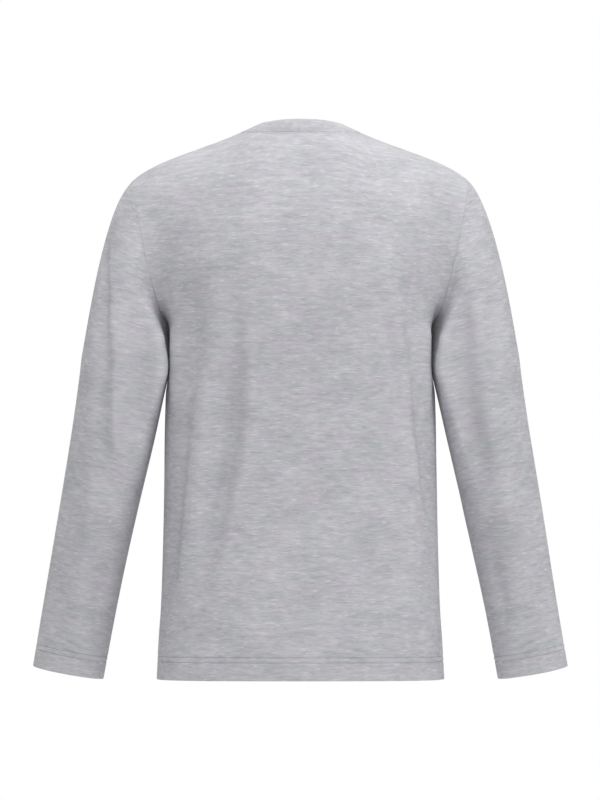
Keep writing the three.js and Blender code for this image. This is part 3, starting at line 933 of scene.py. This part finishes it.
def thread():
    """Spun polyester thread, coloured darker than the cloth as painted shade of the furrow that it lies
    in.
    """
    made = bpy.data.materials.new("grey spun polyester thread darkened as painted shade")
    made.use_nodes = True
    tree = made.node_tree
    shader = tree.nodes["Principled BSDF"]
    place = add_node(tree, "ShaderNodeTexCoord").outputs["Object"]
    noise = add_node(tree, "ShaderNodeTexNoise", {"Vector": place, "Scale": 900.0, "Detail": 1.0})
    # Both greys are darker than the cloth: painted shade of the furrow that the stitches lie in.
    shade = add_node(
        tree,
        "ShaderNodeMix",
        {0: noise.outputs["Fac"], 6: colour("6e6e73"), 7: colour("929297")},
        data_type="RGBA",
    )
    tree.links.new(shade.outputs[2], shader.inputs["Base Color"])
    shader.inputs["Roughness"].default_value = 0.7
    return made


# ------------------------------------------------ making


def sew(name, path, outward, pitch=3.2, length=2.3, thickness=0.5):
    """A row of straight stitches lying on the cloth along a path."""
    travel = np.concatenate([[0], np.cumsum(np.linalg.norm(np.diff(path, axis=0), axis=1))])
    row = bmesh.new()
    for start in np.arange(pitch / 2, travel[-1] - length, pitch):
        needle_in, needle_out = (
            np.array([np.interp(t, travel, path[:, k]) for k in range(3)])
            for t in (start, start + length)
        )
        out = Vector([np.interp(start, travel, outward[:, k]) for k in range(3)]).normalized()
        along = Vector(needle_out - needle_in).normalized()
        side = out.cross(along).normalized()
        middle = Vector((needle_in + needle_out) / 2) * MM
        half_length = length / 2 * MM
        half_thick = thickness / 2 * MM
        turn = Matrix((along * half_length, side * half_thick, along.cross(side) * half_thick))
        shape = Matrix.Translation(middle) @ turn.transposed().to_4x4()
        bmesh.ops.create_uvsphere(row, u_segments=6, v_segments=4, radius=1, matrix=shape)
    for face in row.faces:
        face.smooth = True
    mesh = bpy.data.meshes.new(name)
    row.to_mesh(mesh)
    row.free()
    return put_in_scene(bpy.data.objects.new(name, mesh))


jersey = heather_cloth("grey heather cotton single jersey", ribbed=False)
rib = heather_cloth("grey heather cotton rib", ribbed=True)
thread_with_painted_shade = thread()
cloths = {}
cloths["back_panel"] = panel_piece("back_panel_cloth", BACK, BACK_CREASES, 3)
cloths["front_panel"] = panel_piece("front_panel_cloth", FRONT, FRONT_CREASES, 5)
cloths["left_sleeve"] = sleeve_piece("left_sleeve_cloth", 1, LEFT_SLEEVE_CREASES, 7)
cloths["right_sleeve"] = sleeve_piece("right_sleeve_cloth", -1, RIGHT_SLEEVE_CREASES, 11)
cloths["neckband"] = band_piece("neckband_cloth")
for node, (piece, flat, rows) in cloths.items():
    piece.data.materials.append(rib if node == "neckband" else jersey)
    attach(piece, "root")
    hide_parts(node)
    for k, (path, outward) in enumerate(rows):
        row = sew(f"{node}_stitches_{k + 1}", path, outward)
        row.data.materials.append(thread_with_painted_shade)
        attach(row, "root")

# ------------------------------------------------ studio

scene = bpy.context.scene
scene.view_settings.view_transform = "Standard"

FLOOR_Z = -1.45
FLOOR_RADIUS = 10
floor_mesh = bpy.data.meshes.new("floor")
ground = bmesh.new()
bmesh.ops.create_circle(ground, cap_ends=True, segments=96, radius=FLOOR_RADIUS)
bmesh.ops.translate(ground, verts=ground.verts, vec=(0, 0, FLOOR_Z))
ground.to_mesh(floor_mesh)
ground.free()
floor = put_in_scene(bpy.data.objects.new("floor", floor_mesh))


def studio_floor():
    """Pale matt paint, which runs out into a white glow so that no horizon shows."""
    made = bpy.data.materials.new("pale studio floor")
    made.use_nodes = True
    tree = made.node_tree
    paint = tree.nodes["Principled BSDF"]
    paint.inputs["Base Color"].default_value = colour("cfcfcf")
    paint.inputs["Roughness"].default_value = 0.9
    glow = add_node(tree, "ShaderNodeEmission", {"Color": (1, 1, 1, 1), "Strength": 1.0})
    place = add_node(tree, "ShaderNodeTexCoord").outputs["Object"]
    reach = add_node(tree, "ShaderNodeVectorMath", {0: place}, operation="LENGTH").outputs["Value"]
    far = add_node(
        tree,
        "ShaderNodeMapRange",
        {"Value": reach, "From Min": 2.0, "From Max": 8.0, "To Min": 0.2},
        interpolation_type="SMOOTHSTEP",
    )
    blend = add_node(
        tree,
        "ShaderNodeMixShader",
        {0: far.outputs["Result"], 1: paint.outputs["BSDF"], 2: glow.outputs["Emission"]},
    )
    tree.links.new(blend.outputs["Shader"], tree.nodes["Material Output"].inputs["Surface"])
    return made


floor_mesh.materials.append(studio_floor())

# The camera sees a white backdrop, and a dimmer one lights the shirt.
world = bpy.data.worlds.new("studio")
scene.world = world
world.use_nodes = True
sky = world.node_tree
seen = add_node(sky, "ShaderNodeLightPath").outputs["Is Camera Ray"]
strength = add_node(sky, "ShaderNodeMapRange", {"Value": seen, "To Min": 0.55, "To Max": 1.0})
backdrop = sky.nodes["Background"]
backdrop.inputs["Color"].default_value = (1, 1, 1, 1)
sky.links.new(strength.outputs["Result"], backdrop.inputs["Strength"])


def softbox(name, place, target, size, power):
    """A square lamp that faces its target. It lights the shirt, and no camera sees it."""
    light = bpy.data.lights.new(name, "AREA")
    light.shape = "SQUARE"
    light.size = size
    light.energy = power
    lamp = put_in_scene(bpy.data.objects.new(name, light))
    lamp.location = place
    lamp.rotation_euler = (Vector(target) - Vector(place)).to_track_quat("-Z", "Y").to_euler()
    lamp.visible_camera = False
    return lamp


CENTRE = (0, 0, -0.346)
UPPER_BACK = (0, 0, -0.1)
softbox("overhead softbox", (0, 0.3, 1.6), UPPER_BACK, 1.2, 18)
softbox("camera softbox", (0, 6.0, -0.35), CENTRE, 2.2, 38)
softbox("side softbox", (-4.9, 3.43, 0.18), CENTRE, 2.2, 58)
softbox("front softbox", (0.2, -6.0, 0.18), CENTRE, 2.2, 70)

CAMERA_DISTANCE = 14.0
FRAME_HEIGHT = 1.04  # how much the picture takes in at the shirt
SENSOR = 36
camera_data = bpy.data.cameras.new("camera")
camera_data.sensor_width = SENSOR
camera_data.lens = SENSOR * CAMERA_DISTANCE / FRAME_HEIGHT
camera_data.clip_end = 100
camera = put_in_scene(bpy.data.objects.new("camera", camera_data))
camera.location = (0.00065, CAMERA_DISTANCE, CENTRE[2])
camera.rotation_euler = (math.pi / 2, 0, math.pi)
scene.camera = camera
